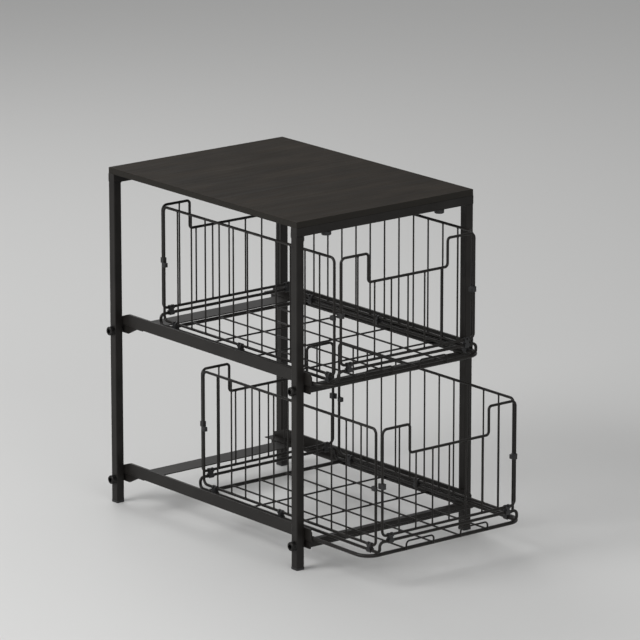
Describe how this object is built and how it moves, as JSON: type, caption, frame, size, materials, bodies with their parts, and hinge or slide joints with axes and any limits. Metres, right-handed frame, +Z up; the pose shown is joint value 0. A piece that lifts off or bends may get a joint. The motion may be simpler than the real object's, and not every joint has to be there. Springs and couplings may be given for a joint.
{
  "type": "pull out cabinet basket",
  "caption": "Cabinet organiser: a black tube frame with a wood-grain top carries wire baskets that slide out in side channels and whose panels fold flat.",
  "frame": {"origin": "on the floor, at the middle of the overall bounding box with the baskets part way out", "axes": "+Z up; +X to the right seen from the front; -Y towards the front, the side the baskets pull out of"},
  "size_m": [0.308, 0.537, 0.462],
  "materials": {
    "wood_grain_board": "matt dark wood-grain laminate",
    "frame_powder_coat": "satin black powder coat on steel tube and sheet",
    "wire_powder_coat": "satin black coated steel wire",
    "blackened_steel": "blackened screws, spacers and weld nuts",
    "moulded_black": "moulded black plastic"
  },
  "bodies": {
    "frame": {"top_board": "wood_grain_board", "top_bar_front": "frame_powder_coat", "top_bar_back": "frame_powder_coat", "board_knobs": "moulded_black", "leg_front_left": "frame_powder_coat", "leg_front_right": "frame_powder_coat", "leg_back_left": "frame_powder_coat", "leg_back_right": "frame_powder_coat", "feet": "moulded_black", "lower_rail_left": "frame_powder_coat", "lower_rail_right": "frame_powder_coat", "lower_rail_hangers": "frame_powder_coat", "lower_front_bar": "frame_powder_coat", "lower_back_strip": "frame_powder_coat", "lower_leg_bolts": "blackened_steel", "lower_spacers_and_nuts": "blackened_steel", "upper_rail_left": "frame_powder_coat", "upper_rail_right": "frame_powder_coat", "upper_rail_hangers": "frame_powder_coat", "upper_front_bar": "frame_powder_coat", "upper_back_strip": "frame_powder_coat", "upper_leg_bolts": "blackened_steel", "upper_spacers_and_nuts": "blackened_steel"},
    "lower_basket": {"lower_base_ring": "wire_powder_coat", "lower_hinge_hoop": "wire_powder_coat", "lower_floor_cross_wires": "wire_powder_coat", "lower_floor_wires": "wire_powder_coat"},
    "upper_basket": {"upper_base_ring": "wire_powder_coat", "upper_hinge_hoop": "wire_powder_coat", "upper_floor_cross_wires": "wire_powder_coat", "upper_floor_wires": "wire_powder_coat"},
    "lower_front_panel": {"lower_front_panel_rod": "wire_powder_coat", "lower_front_panel_wires": "wire_powder_coat", "lower_front_hinge_clips": "moulded_black", "lower_front_corner_latches": "moulded_black"},
    "lower_back_panel": {"lower_back_panel_rod": "wire_powder_coat", "lower_back_panel_wires": "wire_powder_coat", "lower_back_hinge_clips": "moulded_black", "lower_back_corner_latches": "moulded_black"},
    "lower_left_panel": {"lower_left_panel_rod": "wire_powder_coat", "lower_left_panel_wires": "wire_powder_coat", "lower_left_hinge_clips": "moulded_black"},
    "lower_right_panel": {"lower_right_panel_rod": "wire_powder_coat", "lower_right_panel_wires": "wire_powder_coat", "lower_right_hinge_clips": "moulded_black"},
    "upper_front_panel": {"upper_front_panel_rod": "wire_powder_coat", "upper_front_panel_wires": "wire_powder_coat", "upper_front_hinge_clips": "moulded_black", "upper_front_corner_latches": "moulded_black"},
    "upper_back_panel": {"upper_back_panel_rod": "wire_powder_coat", "upper_back_panel_wires": "wire_powder_coat", "upper_back_hinge_clips": "moulded_black", "upper_back_corner_latches": "moulded_black"},
    "upper_left_panel": {"upper_left_panel_rod": "wire_powder_coat", "upper_left_panel_wires": "wire_powder_coat", "upper_left_hinge_clips": "moulded_black"},
    "upper_right_panel": {"upper_right_panel_rod": "wire_powder_coat", "upper_right_panel_wires": "wire_powder_coat", "upper_right_hinge_clips": "moulded_black"}
  },
  "joints": [
    {"name": "lower_basket_slide", "type": "slide", "parent": "frame", "child": "lower_basket", "axis": [0, -1, 0], "range_m": [-0.1315, 0.15]},
    {"name": "lower_left_panel_fold", "type": "hinge", "parent": "lower_basket", "child": "lower_left_panel", "pos_m": [-0.115, -0.078, 0.049], "axis": [0, 1, 0], "range_deg": [0, 90]},
    {"name": "lower_right_panel_fold", "type": "hinge", "parent": "lower_basket", "child": "lower_right_panel", "pos_m": [0.115, -0.078, 0.049], "axis": [0, -1, 0], "range_deg": [0, 86.5]},
    {"name": "lower_front_panel_fold", "type": "hinge", "parent": "lower_basket", "child": "lower_front_panel", "pos_m": [0, -0.265, 0.063], "axis": [-1, 0, 0], "range_deg": [0, 90]},
    {"name": "lower_back_panel_fold", "type": "hinge", "parent": "lower_basket", "child": "lower_back_panel", "pos_m": [0, 0.109, 0.063], "axis": [1, 0, 0], "range_deg": [0, 90]},
    {"name": "upper_basket_slide", "type": "slide", "parent": "frame", "child": "upper_basket", "axis": [0, -1, 0], "range_m": [-0.0475, 0.235]},
    {"name": "upper_left_panel_fold", "type": "hinge", "parent": "upper_basket", "child": "upper_left_panel", "pos_m": [-0.115, 0.006, 0.2556], "axis": [0, 1, 0], "range_deg": [0, 90]},
    {"name": "upper_right_panel_fold", "type": "hinge", "parent": "upper_basket", "child": "upper_right_panel", "pos_m": [0.115, 0.006, 0.2556], "axis": [0, -1, 0], "range_deg": [0, 86.5]},
    {"name": "upper_front_panel_fold", "type": "hinge", "parent": "upper_basket", "child": "upper_front_panel", "pos_m": [0, -0.181, 0.2696], "axis": [-1, 0, 0], "range_deg": [0, 90]},
    {"name": "upper_back_panel_fold", "type": "hinge", "parent": "upper_basket", "child": "upper_back_panel", "pos_m": [0, 0.193, 0.2696], "axis": [1, 0, 0], "range_deg": [0, 90]}
  ]
}
